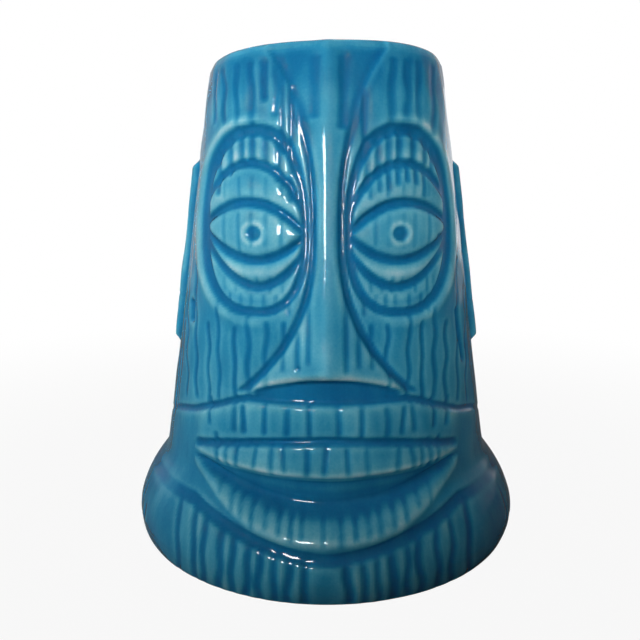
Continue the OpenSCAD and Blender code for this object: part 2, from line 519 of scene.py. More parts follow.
@dataclass(frozen=True)
class Eye:
    """One eye in its socket; the other is its mirror image across the nose."""

    pupil_x: float = 18.3
    pupil_z: float = 91.8
    pupil_d: float = 4.0
    socket_top: OvalArc = OvalArc(5.5, 32.3, 91.5, 26.8, 2.3)
    socket_low: OvalArc = OvalArc(5.5, 32.3, 91.5, 19.8, 2.45)
    fold: Arch = Arch(5.7, 31.6, 95.8, 99.4, 12.1, 0.75)
    upper_lid: Arch = Arch(5.6, 31.0, 91.6, 95.4, 6.1)
    lower_lid: Arch = Arch(5.6, 32.0, 91.2, 92.6, -6.8)
    bag: Arch = Arch(5.4, 32.0, 87.6, 90.2, -10.6)
    socket_line: CarvedLine = CarvedLine(2.9, 0.85)
    fold_line: CarvedLine = CarvedLine(2.5, 0.75)
    upper_line: CarvedLine = CarvedLine(2.8, 0.8)
    lower_line: CarvedLine = CarvedLine(2.6, 0.72)
    bag_line: CarvedLine = CarvedLine(2.5, 0.7)
    ball_proud: float = 0.9
    bowl_sunk: float = 0.3
    temple_proud: float = 0.45
    ring_proud: float = 0.16
    pupil_sunk: float = 0.35
    lid_end_in: float = 5.8
    lid_end_out: float = 31.6

    def socket_away(self, across: Array, z: Array) -> Array:
        """Signed distance outside the socket's line."""
        top = z > self.socket_top.middle_z
        return np.where(top, self.socket_top.away(across, z), self.socket_low.away(across, z))

    def pupil(self, skin: Skin) -> Array:
        """Share of the pupil's sunk disc at a point."""
        dot = np.hypot(np.abs(skin.across) - self.pupil_x, skin.z_face - self.pupil_z)
        return 1 - ease((dot - self.pupil_d / 2 + 0.55) / 0.7)

    def rise(self, skin: Skin) -> Array:
        """Height of the eyeball, the lids and the ridge beside the socket.

        Args:
            skin: Points of the surface.

        Returns:
            Height over the wall in mm, rows by columns.
        """
        across, z = skin.half_face
        top, low = self.upper_lid.z_at(across), self.lower_lid.z_at(across)
        share = np.clip((z - low) / np.maximum(top - low, 0.5), 0.0, 1.0)
        within = ease((across - self.lid_end_in) / 2.0) * ease((self.lid_end_out - across) / 2.0)
        ball = self.ball_proud * np.sqrt(4 * share * (1 - share)) * within
        away = self.socket_away(across, z)
        inside = ease(-away / 1.6)
        lids = 0.45 * bell(z - top - 4.4, 3.4) + 0.5 * bell(low - z - 3.3, 2.2)
        bowl = -self.bowl_sunk * ease(-away / 3.0)
        temple = self.temple_proud * bell(away - 2.6, 1.3) * ease((across - 13) / 8.0)
        dot = np.hypot(across - self.pupil_x, z - self.pupil_z)
        ring = self.ring_proud * bell(dot - self.pupil_d * 0.66, 0.6)
        raised = bowl + (ball + lids * within + ring) * inside + temple
        return (raised - self.pupil_sunk * self.pupil(skin)) * skin.front

    def thinned(self, skin: Skin) -> Array:
        """Share of bare edge at a point: the temple ridge, the lids' edges and the ring of the pupil.

        Args:
            skin: Points of the surface.

        Returns:
            Share of 0 to about 1, rows by columns.
        """
        across, z = skin.half_face
        away = self.socket_away(across, z)
        temple = bell(away - 3.0, 1.5) * ease((across - 16) / 8.0) * ease((z - 70) / 10)
        inside = ease(-away / 2.0)
        lids = bell(self.lower_lid.away(across, z) + 3.3, 1.6)
        lids = lids + 0.8 * bell(self.bag.away(across, z) + 2.8, 1.3)
        lids = lids + 0.8 * bell(self.upper_lid.away(across, z) - 2.6, 1.6)
        lids = lids + 0.7 * bell(self.fold.away(across, z) - 2.4, 1.4)
        dot = np.hypot(across - self.pupil_x, z - self.pupil_z)
        ring = 0.45 * bell(dot - self.pupil_d * 0.72, 0.7)
        top, low = self.upper_lid.z_at(across), self.lower_lid.z_at(across)
        lids = lids + 0.55 * ease((z - low - 1) / 2) * ease((top - z - 1) / 2) * (1 - self.pupil(skin))
        return (temple + np.clip(lids + ring, 0, 1) * inside) * skin.front

    def cuts(self, skin: Skin) -> list[Array]:
        """Depths of the eye's carved lines.

        Args:
            skin: Points of the surface.

        Returns:
            Depths in mm, one array for each line.
        """
        across, z = skin.half_face
        pairs = [(self.fold, self.fold_line), (self.upper_lid, self.upper_line),
                 (self.lower_lid, self.lower_line), (self.bag, self.bag_line)]
        away = self.socket_away(across, z)
        high = 0.85 + 0.4 * ease((z - 104) / 12)
        cuts = [self.socket_line.cut(away / high)]
        for arch, line in pairs:
            thin = 0.74 + 0.26 * np.sqrt(np.clip(1 - arch.along(across) ** 2, 0.0, 1.0))
            cuts.append(line.cut(arch.away(across, z) / thin) * ease((0.8 - away) / 1.2))
        return [cut * skin.front for cut in cuts]


@dataclass(frozen=True)
class Mouth:
    """Lip band, lips and the long lines that run on round the jaw."""

    half_w: float = 35.0
    band_line: Bow = Bow(39.8, 34.9, 35.0)
    upper_edge: Bow = Bow(30.7, 32.6, 35.0)
    seam: Bow = Bow(23.4, 31.0, 35.5)
    lower_ridge: Bow = Bow(17.2, 30.0, 36.0, 2.5)
    chin_z: float = 12.8
    chin_rise: float = 8.0
    chin_reach: float = 36.0
    moustache_turn: tuple = (0, 22, 28, 36, 50, 61, 85, 120)
    moustache_z: tuple = (49.3, 49.5, 49.2, 46.8, 43.0, 41.2, 35.4, 30.0)
    moustache_cut: CarvedLine = CarvedLine(1.9, 0.75)
    band_cut: CarvedLine = CarvedLine(2.4, 0.75)
    seam_cut: CarvedLine = CarvedLine(2.4, 0.6)
    chin_cut: CarvedLine = CarvedLine(3.0, 0.9)

    def moustache_away(self, skin: Skin) -> Array:
        """Signed distance above the line over the lip band, which runs on round the sides.

        Args:
            skin: Points of the surface.

        Returns:
            Distance in mm, rows by columns.
        """
        turn = np.degrees(np.abs(skin.theta))[None, :]
        near = sum(np.interp(turn + shift, self.moustache_turn, self.moustache_z) for shift in (-2.5, 0, 2.5))
        return skin.z_face - near / 3

    def chin_line(self, across: Array) -> Array:
        """Height of the line under the lower lip, which levels out along the jaw.

        Args:
            across: Distance from the middle of the face in mm.

        Returns:
            Height in mm.
        """
        share = np.minimum(np.abs(across) / self.chin_reach, 1.0)
        soft = (np.sqrt(share**2 + 0.03) - 0.173) / 0.842
        return self.chin_z + self.chin_rise * (0.45 * share**2 + 0.55 * soft)

    def rise(self, skin: Skin) -> Array:
        """Height of the band and the lips over the wall.

        Args:
            skin: Points of the surface.

        Returns:
            Height over the wall in mm, rows by columns.
        """
        across, z = skin.half_face
        line, upper = self.band_line.z_at(across), self.upper_edge.z_at(across)
        seam, lower = self.seam.z_at(across), self.lower_ridge.z_at(across)
        moustache = z - self.moustache_away(skin)
        band = [(moustache, 0.0), (moustache - 1.6, 0.7), (line + 0.8, 0.65), (line - 0.6, 0.0)]
        lips = [(line + 0.4, 0.0), (line - 1.4, 1.0), (upper + 2.6, 1.5), (upper + 0.7, 1.4),
                (upper - 0.5, 0.3), (upper - 1.6, -0.7), (seam + 0.8, -1.7), (seam - 0.4, -1.6),
                (lower + 1.4, 1.0), (lower - 0.2, 1.2), (lower - 2.9, 0.0)]
        soft_end = ease((self.half_w + 2.6 - across) / 5.0)
        corner = np.sqrt(np.clip(1 - np.square(across / (self.half_w + 1.5)), 0.0, 1.0))
        raised = self._stepped(band, across, z) * soft_end + self._stepped(lips, across, z) * corner**0.8
        return raised * skin.front

    def thinned(self, skin: Skin) -> Array:
        """Share of bare edge at a point: the lips' edges and the band's ends.

        Args:
            skin: Points of the surface.

        Returns:
            Share of 0 to about 1, rows by columns.
        """
        across, z = skin.half_face
        ends = ease((self.half_w + 1.5 - across) / 3.0)
        upper = 0.95 * bell(self.upper_edge.away(across, z) - 0.7, 1.0)
        lower = 0.65 * bell(self.lower_ridge.away(across, z) + 0.1, 1.2)
        return np.maximum(upper, lower) * ends * skin.front

    def painted_shade(self, skin: Skin) -> Array:
        """Share of painted shade inside the mouth's recess, between the lips' edges, deepest along the seam.

        Args:
            skin: Points of the surface.

        Returns:
            Share of 0 to about 1, rows by columns.
        """
        across, z = skin.half_face
        upper, lower, seam = (line.z_at(across) for line in (self.upper_edge, self.lower_ridge, self.seam))
        # Painted shade: darkens the recess between the lips, most along the seam.
        inside = ease((upper - 0.2 - z) / 1.5) * ease((z - lower - 0.8) / 2.0)
        deep = bell(z - seam - 0.3, 2.6) * ease((upper - 0.4 - z) / 1.2)
        return (0.15 * inside + 0.7 * deep) * ease((self.half_w + 0.5 - across) / 2.5) * skin.front

    @staticmethod
    def _stepped(knots: list, across: Array, z: Array) -> Array:
        """Height that eases from one level to the next down the face.

        Args:
            knots: Pairs of a height on the face and the level there, from the top down.
            across: Distance from the middle of the face in mm.
            z: Height in mm.

        Returns:
            Level in mm at each point.
        """
        total = np.zeros(np.broadcast(across, z).shape)
        for (top, high), (low, deep) in zip(knots, knots[1:]):
            total = total + (deep - high) * ease((top - z) / np.maximum(top - low, 0.15))
        return total

    def cuts(self, skin: Skin) -> list[Array]:
        """Depths of the long lines.

        Args:
            skin: Points of the surface.

        Returns:
            Depths in mm, one array for each line.
        """
        across, z = skin.half_face
        turn = np.abs(skin.theta)[None, :]
        fade = ease((math.radians(116) - turn) / math.radians(22)) * (1 - 0.7 * ease((turn - 0.95) / 0.3))
        moustache = self.moustache_cut.cut(self.moustache_away(skin)) * fade
        band = self.band_cut.cut(self.band_line.away(across, z)) * ease((self.half_w + 1.6 - across) / 2.4)
        slope = self.chin_line(across + 0.5) - self.chin_line(across - 0.5)
        chin = self.chin_cut.cut((z - self.chin_line(across)) / np.sqrt(1 + slope**2))
        chin = chin * (1 - 0.75 * ease((across - 30.0) / 16.0))
        seam = self.seam_cut.cut(self.seam.away(across, z)) * ease((self.half_w + 0.8 - across) / 3.0)
        return [moustache, band * skin.front, chin * skin.front, seam * skin.front]


@dataclass(frozen=True)
class Ears:
    """Flat ear slabs on the two sides of the mug."""

    proud: float = 2.0
    width: float = 18.0
    low_z: float = 57.5
    top_z: float = 114.0
    slant: float = 3.0
    edge: float = 1.1

    def mask(self, theta: Array, z: Array, profile: MugProfile) -> Array:
        """Share of the ears' height at a point, with worn edges.

        Args:
            theta: Angle round the mug in radians.
            z: Height in mm.
            profile: The mug's turned shape.

        Returns:
            Share of 0 to 1.
        """
        aside = np.abs(profile.outside_r(z) * np.cos(theta))
        side = ease((self.width / 2 - aside + 0.1) / self.edge)
        ends = ease((z - self.low_z) / self.slant) * ease((self.top_z - z) / self.slant)
        return side * ends

    def rise(self, skin: Skin) -> Array:
        """Height of the ears over the wall."""
        return self.proud * self.mask(skin.theta[None, :], skin.z_face, skin.profile)

    def joint_cut(self, skin: Skin) -> Array:
        """Shallow line where glaze runs along each ear's joint with the wall.

        Args:
            skin: Points of the surface.

        Returns:
            Depth in mm, rows by columns.
        """
        z = skin.z_face
        aside = np.abs(skin.profile.outside_r(z) * np.cos(skin.theta)[None, :])
        along = ease((z - self.low_z + 1) / 2) * ease((self.top_z + 1 - z) / 2)
        return CarvedLine(1.8, 0.35).cut(aside - self.width / 2 - 0.7) * along


@dataclass(frozen=True)
class Stroke:
    """One upright grain stroke, cut with a loop tool."""

    x: float
    low_z: float
    top_z: float
    strength: float = 1.0
    width: float = 0.62
    lean: float = 0.0
    wave: float = 0.0


class Zone(Enum):
    """Stretch of the mug that is grained on its own; value is its low and top height."""

    FOREHEAD = (117.0, 135.5)
    BAND = (40.4, 48.6)
    UPPER_LIP = (31.0, 38.8)


@dataclass
class WoodGrain:
    """Upright strokes that give the carved face its wood look."""

    seed: int = 5
    strokes: list[Stroke] = field(default_factory=list)

    band_x: tuple = (-31, -24, -21.5, -16, -10.2, -4.4, 2.9, 8.7, 15.3, 19.3, 22.3, 28, 32)
    upper_lip_x: tuple = (-29, -26, -23.5, -18.5, -14, -10.7, -5, -0.5, 5.3, 10, 18, 22, 24.5, 27, 29.5)
    lower_lip_x: tuple = (-28, -24.5, -22, -19, -15.5, -12, -9, -6.3, -1.0, 3.4, 7, 10.3, 13.2, 16.8, 20,
                          23.5, 27)
    skirt_x: tuple = (-40, -35, -32.5, -28, -24.5, -20.6, -17.3, -13, -10.2, -5.6, 5.6, 9.7, 13.1, 17, 20.4,
                      24, 29, 32.5, 38)
    deep_skirt_x: float = 5.6
    forehead_x: tuple = (-29, -26, -22.5, -18.5, -15.5, -12.5, -3.2, 3.8, 16, 20, 23, 27.5)
    cheek_x: tuple = (-43, -39.5, -36, -32, -28.5, -24, -20.5, -16, 15.5, 21, 25, 28.5, 32, 36.5, 40, 43.5)
    nose_x: tuple = (-11, -7.2, -4.5, 4.6, 7.8, 11.2)

    def carve(self) -> None:
        """Lays out every stroke."""
        rng = np.random.default_rng(self.seed)
        mouth = Mouth()
        self._row(rng, self.band_x, Zone.BAND, 0.95, 1.0)
        self._row(rng, self.upper_lip_x, Zone.UPPER_LIP, 0.8, 1.2)
        for x in self.lower_lip_x:
            low = float(mouth.lower_ridge.z_at(x)) + rng.uniform(-1.2, 0.8)
            top = float(mouth.seam.z_at(x)) - rng.uniform(0.6, 1.6)
            self.strokes.append(Stroke(x, low, top, rng.uniform(0.5, 0.9), rng.uniform(0.5, 0.7)))
        for x in self.skirt_x:
            top = float(mouth.chin_line(abs(x))) - rng.uniform(0.6, 1.8)
            strength = 1.25 if x == self.deep_skirt_x else rng.uniform(0.7, 1.05)
            self.strokes.append(Stroke(x, rng.uniform(-1, 1.5), top, strength, rng.uniform(0.8, 1.25),
                                       rng.uniform(-0.08, 0.02) * np.sign(x), rng.uniform(0.1, 0.5)))
        low, top = Zone.FOREHEAD.value
        for x in self.forehead_x:
            self.strokes.append(Stroke(x, low + rng.uniform(-1, 9), top, rng.uniform(0.5, 1.0),
                                       rng.uniform(0.8, 1.4), rng.uniform(-0.03, 0.03), rng.uniform(0, 0.3)))
        self.strokes += [Stroke(-11.4, 112, 134, 0.8, 0.8), Stroke(-9.0, 107, 128, 0.9, 0.8),
                         Stroke(9.4, 110, 127, 0.8, 0.8)]
        for x in self.cheek_x:
            low = float(49.4 - 14.2 * (abs(x) / 60.0) ** 2) + rng.uniform(0.2, 3.0)
            top = 71 + max(0.0, abs(x) - 31) * 2.2 + rng.uniform(-6, 2)
            self.strokes.append(Stroke(x, low, top, rng.uniform(0.55, 1.0), rng.uniform(0.5, 0.8),
                                       rng.uniform(-0.02, 0.03), rng.uniform(0.1, 0.4)))
        for x in self.nose_x:
            low = 57 + rng.uniform(0, 3)
            self.strokes.append(Stroke(x, low, 66 + 13 * (abs(x) < 5) + rng.uniform(0, 4), 0.75, 0.6))
        self._eye_nicks(rng)

    def _row(self, rng: np.random.Generator, places: tuple, zone: Zone, strength: float,
             ragged: float) -> None:
        """Adds a row of strokes.

        Args:
            rng: Source of the small differences.
            places: Distance of each stroke from the face's middle.
            zone: The stretch that the row fills.
            strength: How strongly they are cut.
            ragged: How far their ends miss the stretch's edges.
        """
        low, top = zone.value
        for x in places:
            self.strokes.append(Stroke(x, low + rng.uniform(-0.2, ragged), top - rng.uniform(-0.4, ragged),
                                       strength * rng.uniform(0.7, 1.2), rng.uniform(0.5, 0.8),
                                       rng.uniform(-0.06, 0.06), rng.uniform(0, 0.25)))

    def _eye_nicks(self, rng: np.random.Generator) -> None:
        """Adds the short nicks on the lids and the fringe under each socket's top.

        Args:
            rng: Source of the small differences.
        """
        for side in (-1, 1):
            for step in range(7):
                x = side * (9.6 + 3.0 * step + rng.uniform(-0.6, 0.6))
                top = 91.5 + 26.8 * max(1 - abs((abs(x) - 18.9) / 13.4) ** 2.3, 0) ** (1 / 2.3)
                self.strokes.append(Stroke(x, top - rng.uniform(6, 12), top, rng.uniform(0.7, 1.2), 1.0))
                self.strokes.append(Stroke(x + 1, 77.0, 80.5, rng.uniform(0.2, 0.6), 0.45))
                self.strokes.append(Stroke(x - 0.7, 71.5, 76.0, rng.uniform(0.3, 0.7), 0.5))
                if side > 0:
                    x = 11.0 + 2.3 * step
                    top = float(Eye().fold.z_at(x)) - 0.6
                    low = top - rng.uniform(4, 6.5)
                    self.strokes.append(Stroke(x, low, top, rng.uniform(0.7, 1.1), 0.75))
            for step in range(5):
                x = side * (11.5 + 3.6 * step + rng.uniform(-0.6, 0.6))
                self.strokes.append(Stroke(x, 101.5, 106, rng.uniform(0.15, 0.5), 0.5))
                self.strokes.append(Stroke(x, 87 + rng.uniform(0, 2), 97, rng.uniform(0.2, 0.5), 0.55))

    def depth(self, skin: Skin) -> Array:
        """Strength of the grain at each point, 0 where there is none.

        Args:
            skin: Points of the surface.

        Returns:
            Strength, rows by columns.
        """
        total = np.zeros((len(skin.z), len(skin.theta)))
        z_face, radius = skin.z_face[:, 0], skin.profile.outside_r(skin.z_face[:, 0])
        for stroke in self.strokes:
            rows = np.nonzero((z_face > stroke.low_z - 1.5) & (z_face < stroke.top_z + 1.5)
                              & (skin.z < skin.profile.mug_h + 1))[0]
            if not len(rows):
                continue
            z, r = z_face[rows], radius[rows]
            line = stroke.x + stroke.lean * (z - stroke.low_z) + stroke.wave * np.sin(0.55 * z + stroke.x)
            middle = np.arcsin(np.clip(line / r, -1, 1))
            cols = np.nonzero(np.abs(skin.theta - middle.mean()) < 0.12)[0]
            away = (skin.theta[cols][None, :] - middle[:, None]) * r[:, None]
            ends = ease((z - stroke.low_z + 0.9) / 1.4) * ease((stroke.top_z + 0.9 - z) / 1.4)
            mark = stroke.strength * bell(away, stroke.width) * ends[:, None]
            press(total, rows, cols, mark)
        return total


@dataclass
class SideGrain:
    """Long shallow strokes on the sides and the back, where the carving stops."""

    seed: int = 23
    count: int = 46
    first_turn: float = 62
    highest: float = 136
    strokes: list[Stroke] = field(default_factory=list)

    def carve(self) -> None:
        """Lays out the strokes; here a stroke's x is its angle in degrees."""
        rng = np.random.default_rng(self.seed)
        for step in range(self.count):
            share = (step + rng.uniform(0.15, 0.85)) / self.count
            angle = self.first_turn + (360 - 2 * self.first_turn) * share
            angle = angle - 360 if angle > 180 else angle
            low = rng.uniform(28, 60)
            top = low + rng.uniform(25, 70)
            self.strokes.append(Stroke(angle, low, min(top, self.highest), rng.uniform(0.25, 0.7),
                                       rng.uniform(0.6, 1.0), 0.0, rng.uniform(0.1, 0.5)))
            self.strokes.append(Stroke(angle + rng.uniform(-2, 2), rng.uniform(0, 4), rng.uniform(13, 21),
                                       rng.uniform(0.5, 1.0), rng.uniform(0.6, 0.9), 0.0,
                                       rng.uniform(0, 0.4)))

    def depth(self, skin: Skin) -> Array:
        """Strength of the grain at each point.

        Args:
            skin: Points of the surface.

        Returns:
            Strength, rows by columns.
        """
        total = np.zeros((len(skin.z), len(skin.theta)))
        z_face = skin.z_face[:, 0]
        radius = skin.profile.outside_r(z_face)
        for stroke in self.strokes:
            rows = np.nonzero((z_face > stroke.low_z - 1.5) & (z_face < stroke.top_z + 1.5))[0]
            z, r = z_face[rows], radius[rows]
            turn = np.angle(np.exp(1j * (skin.theta - math.radians(stroke.x))))
            cols = np.nonzero(np.abs(turn) < 0.12)[0]
            away = turn[cols][None, :] * r[:, None] - stroke.wave * np.sin(0.3 * z + stroke.x)[:, None]
            ends = ease((z - stroke.low_z) / 5.0) * ease((stroke.top_z - z) / 5.0)
            mark = stroke.strength * bell(away, stroke.width) * ends[:, None]
            press(total, rows, cols, mark)
        return total


@dataclass
class Carving:
    """Everything that is raised from or cut into the mug's wall."""

    profile: MugProfile
    nose: Nose = field(default_factory=Nose)
    eye: Eye = field(default_factory=Eye)
    mouth: Mouth = field(default_factory=Mouth)
    ears: Ears = field(default_factory=Ears)
    grain: WoodGrain = field(default_factory=WoodGrain)
    side_grain: SideGrain = field(default_factory=SideGrain)
    grain_cut: float = 0.36
    rim_ease: float = 0.15
    looseness: float = 0.12
    pinholes: tuple = ((-24.6, 107.2), (29.0, 91.3), (-7.0, 58.2), (-31.0, 36.0), (12.0, 24.0))
    full_pool: float = 0.75

    def __post_init__(self) -> None:
        """Lays out the grain once."""
        self.grain.carve()
        self.side_grain.carve()

    def flaws(self, skin: Skin) -> Array:
        """Depth of the two tool slips beside the ears and of a few pinholes.

        Args:
            skin: Points of the surface.

        Returns:
            Depth in mm, rows by columns.
        """
        across, z = skin.across, skin.z_face
        left = 1.3 * bell((across + 37.6) / 0.75, 1.0) * ease((z - 66.2) / 1.5) * ease((73.6 - z) / 1.5)
        line = 35.8 + (70.9 - z) * 0.19
        right = 1.2 * bell((across - line) / 0.55, 1.0) * ease((z - 54.6) / 2.5) * ease((71.4 - z) / 1.5)
        total = (left + right) * skin.front
        for x, height in self.pinholes:
            total = total + 0.6 * bell(np.hypot(across - x, z - height), 0.5) * skin.front
        return total

    def height(self, skin: Skin, with_ears: bool = True) -> Array:
        """Rise of the surface over the turned shape.

        Args:
            skin: The points.
            with_ears: Leaves the ears out when false.

        Returns:
            The rise in mm, rows by columns.
        """
        raised = self.nose.rise(skin) + self.eye.rise(skin) + self.mouth.rise(skin)
        if with_ears:
            raised = raised + self.ears.rise(skin)
        grain = np.maximum(self.grain.depth(skin), self.side_grain.depth(skin))
        loose = self.looseness * ripple(skin.theta[None, :], skin.z_face, 3, 24, 26)
        rolled = self.rim_ease * np.square(np.clip((skin.z_face - 131.5) / 6.3, 0.0, 1.0))
        carved = raised - self.lines(skin, with_ears) - self.grain_cut * grain - self.flaws(skin)
        return carved + loose - rolled

    def lines(self, skin: Skin, with_ears: bool = True) -> Array:
        """Depth of the deepest carved line at each point.

        Args:
            skin: Points of the surface.
            with_ears: Leaves the ears' joint lines out when false.

        Returns:
            Depth in mm, rows by columns.
        """
        cuts = self.nose.cuts(skin) + self.eye.cuts(skin) + self.mouth.cuts(skin)
        if with_ears:
            cuts.append(self.ears.joint_cut(skin))
        deepest = np.zeros((len(skin.z), len(skin.theta)))
        for cut in cuts:
            deepest = np.maximum(deepest, cut)
        return deepest

    def pooled(self, skin: Skin) -> Array:
        """Share of a full pool of glaze at each point: 1 in the lines, the pupils and the slips.

        Args:
            skin: Points of the surface.

        Returns:
            Share of 0 to 1.3, rows by columns.
        """
        sunk = np.maximum(self.lines(skin) / self.full_pool, 0.5 * self.eye.pupil(skin) * skin.front)
        sunk = np.maximum(sunk, self.nose.pooled(skin))
        return np.clip(np.maximum(sunk, self.flaws(skin)), 0.0, 1.3)


@dataclass(frozen=True)
class GlazeLay:
    """How the fired glaze lies over the carving, as shares of its depth on a plain wall; low and mouth add
    painted shade on top.
    """

    usual: float = 1.38
    thinnest: float = 0.3
    thickest: float = 1.95
    # Painted shade: deepens the colour towards the bottom of the mug.
    low: float = 0.08
    brow: float = 0.34
    uneven: float = 0.10
    swell: float = 0.18
    edge: float = 0.34
    nook: float = 0.20
    dip: float = 0.25
    pool: float = 0.50
    grain: float = 0.46
    halo: float = 0.7
    # Painted shade: deepens the colour inside the mouth's recess.
    mouth: float = 0.55
    bare: float = 0.42
    fine_reach: float = 1.0
    broad_reach: float = 3.6
    halo_reach: float = 1.4


@dataclass
class ReliefMap:
    """The carving on an even grid, for what depends on the surface near a point."""

    carving: Carving
    turn_step: float = math.radians(0.5)
    z_step: float = 0.4
    middling_r: float = 46.0
    lay: GlazeLay = field(default_factory=GlazeLay)

    def __post_init__(self) -> None:
        """Reads the carving onto the grid."""
        profile = self.carving.profile
        self.theta = np.arange(-math.pi, math.pi - 1e-9, self.turn_step)
        self.z = np.arange(-2.0, profile.mug_h + 2.0, self.z_step)
        held = np.ones(len(self.z))
        self.skin = Skin(profile, self.theta, profile.outside_r(self.z), self.z, held, held * 0, held)
        self.relief = self.carving.height(self.skin)
        self.grain = np.maximum(self.carving.grain.depth(self.skin), self.carving.side_grain.depth(self.skin))

    def blurred(self, values: Array, reach: float) -> Array:
        """Values spread over a reach in mm, as glaze levels out.

        Args:
            values: Values on the grid.
            reach: How far they spread.

        Returns:
            The spread values on the grid.
        """
        rows = len(self.z)
        tall = np.concatenate([values, values[::-1]], axis=0)
        spectrum = np.fft.rfft2(tall)
        f_z = np.fft.fftfreq(2 * rows, self.z_step)[:, None]
        f_t = np.fft.rfftfreq(len(self.theta), self.turn_step * self.middling_r)[None, :]
        spectrum *= np.exp(-2 * (math.pi * reach) ** 2 * (f_z**2 + f_t**2))
        return np.fft.irfft2(spectrum, s=tall.shape)[:rows]

    def lowest_near(self, values: Array, turns: int, rows: int) -> Array:
        """Lowest value within a few grid steps of each point.

        Args:
            values: Values on the grid.
            turns: Steps to look round the mug.
            rows: Steps to look up and down.

        Returns:
            The lowest values on the grid.
        """
        low = values.copy()
        for step in range(1, turns + 1):
            low = np.minimum(low, np.minimum(np.roll(values, step, 1), np.roll(values, -step, 1)))
        across = low.copy()
        for step in range(1, rows + 1):
            across[step:] = np.minimum(across[step:], low[:-step])
            across[:-step] = np.minimum(across[:-step], low[step:])
        return across

    def read(self, values: Array, theta: Array, z: Array) -> Array:
        """Values of the grid at the crossing of each height and each angle.

        Args:
            values: Values on the grid.
            theta: Angle of each column in radians.
            z: Height of each row in mm.

        Returns:
            Values, rows by columns.
        """
        turn = (np.mod(theta + math.pi, 2 * math.pi)) / self.turn_step
        rise = np.clip((z - self.z[0]) / self.z_step, 0, len(self.z) - 1.001)
        c0, r0 = np.floor(turn).astype(int), np.floor(rise).astype(int)
        ct, rt = (turn - c0)[None, :], (rise - r0)[:, None]
        c0 = np.mod(c0, len(self.theta))
        c1 = np.mod(c0 + 1, len(self.theta))
        top = values[np.ix_(r0 + 1, c0)] * (1 - ct) + values[np.ix_(r0 + 1, c1)] * ct
        low = values[np.ix_(r0, c0)] * (1 - ct) + values[np.ix_(r0, c1)] * ct
        return low * (1 - rt) + top * rt

    def glaze_depth_and_shade(self) -> Array:
        """Thickness of the glaze against its usual coat: thin on edges, deep in lines, plus painted shade
        towards the bottom and inside the mouth.

        Returns:
            Depth on the grid, rows by columns.
        """
        lay, carving, skin = self.lay, self.carving, self.skin
        fine = self.relief - self.blurred(self.relief, lay.fine_reach)
        broad = self.relief - self.blurred(self.relief, lay.broad_reach)
        pool = carving.pooled(skin)
        uneven = lay.uneven * ripple(self.theta[None, :], self.z[:, None], 8, 30, 20)
        thin = np.maximum(carving.nose.thinned(skin), carving.mouth.thinned(skin))
        thin = np.maximum(thin, carving.eye.thinned(skin))
        # Painted shade: darker towards the bottom.
        low = ease((60 - self.z) / 60)[:, None]
        brow = ease((self.z - 125) / 7)[:, None] * ease((139 - self.z) / 3)[:, None]
        halo = np.clip(self.blurred(self.grain, lay.halo_reach) - self.grain, 0.0, None)
        depth = (lay.usual + lay.low * low + lay.brow * brow + uneven
                 - lay.swell * np.tanh(np.clip(broad, 0, None) / 0.24)
                 - lay.edge * np.tanh(np.clip(fine, 0, None) / 0.10)
                 + lay.nook * np.tanh(np.clip(-fine, 0, None) / 0.35)
                 + lay.dip * np.tanh(np.clip(-broad, 0, None) / 0.5)
                 + lay.pool * ease(pool / 0.9)
                 + lay.grain * self.grain * (1 - 0.5 * np.clip(pool, 0, 1)) - lay.halo * halo
                 # The mouth term is painted shade in the mouth's recess.
                 + lay.mouth * carving.mouth.painted_shade(skin) - lay.bare * thin * (1 - 0.7 * ease(pool / 0.8)))
        return np.clip(depth, lay.thinnest, lay.thickest)


